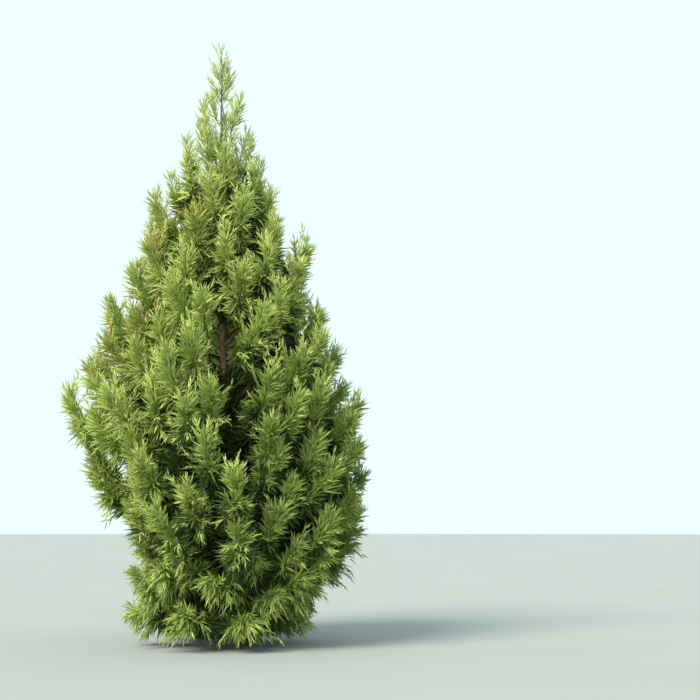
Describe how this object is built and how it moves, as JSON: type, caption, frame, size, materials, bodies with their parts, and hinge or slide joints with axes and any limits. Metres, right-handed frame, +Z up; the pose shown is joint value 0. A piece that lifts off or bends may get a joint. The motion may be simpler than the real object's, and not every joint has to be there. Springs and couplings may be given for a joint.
{
  "type": "japanese cedar tree",
  "caption": "Young Japanese cedar with a leaning flared trunk, spiralling boughs and a dense cone of upright plumes of green foliage down to the ground.",
  "frame": {"origin": "middle of the trunk's flat foot, at ground level", "axes": "+Z up, -Y towards the side that is looked at, +X to the right as seen from there; the trunk leans towards -X"},
  "size_m": [3.5279, 3.3222, 7.05],
  "materials": {
    "bark": "matte",
    "foliage": "matte"
  },
  "bodies": {
    "root": {"trunk": "bark", "bough_01": "bark", "bough_02": "bark", "bough_03": "bark", "bough_04": "bark", "bough_05": "bark", "bough_06": "bark", "bough_07": "bark", "bough_08": "bark", "bough_09": "bark", "bough_10": "bark", "bough_11": "bark", "bough_12": "bark", "bough_13": "bark", "bough_14": "bark", "bough_15": "bark", "bough_16": "bark", "bough_17": "bark", "bough_18": "bark", "bough_19": "bark", "bough_20": "bark", "bough_21": "bark", "bough_22": "bark", "bough_23": "bark", "foliage_01": "foliage", "foliage_02": "foliage", "foliage_03": "foliage", "foliage_04": "foliage", "foliage_05": "foliage", "foliage_06": "foliage", "foliage_07": "foliage", "foliage_08": "foliage", "foliage_09": "foliage", "foliage_10": "foliage", "foliage_11": "foliage", "foliage_12": "foliage", "foliage_13": "foliage", "foliage_14": "foliage", "foliage_15": "foliage", "foliage_16": "foliage", "foliage_17": "foliage", "foliage_18": "foliage", "foliage_19": "foliage", "foliage_20": "foliage", "foliage_21": "foliage", "foliage_22": "foliage", "foliage_23": "foliage", "upper_foliage_01": "foliage", "upper_foliage_02": "foliage", "upper_foliage_03": "foliage", "upper_foliage_04": "foliage", "upper_foliage_05": "foliage", "upper_foliage_06": "foliage", "upper_foliage_07": "foliage", "upper_foliage_08": "foliage", "upper_foliage_09": "foliage", "leader_foliage": "foliage"}
  },
  "joints": []
}
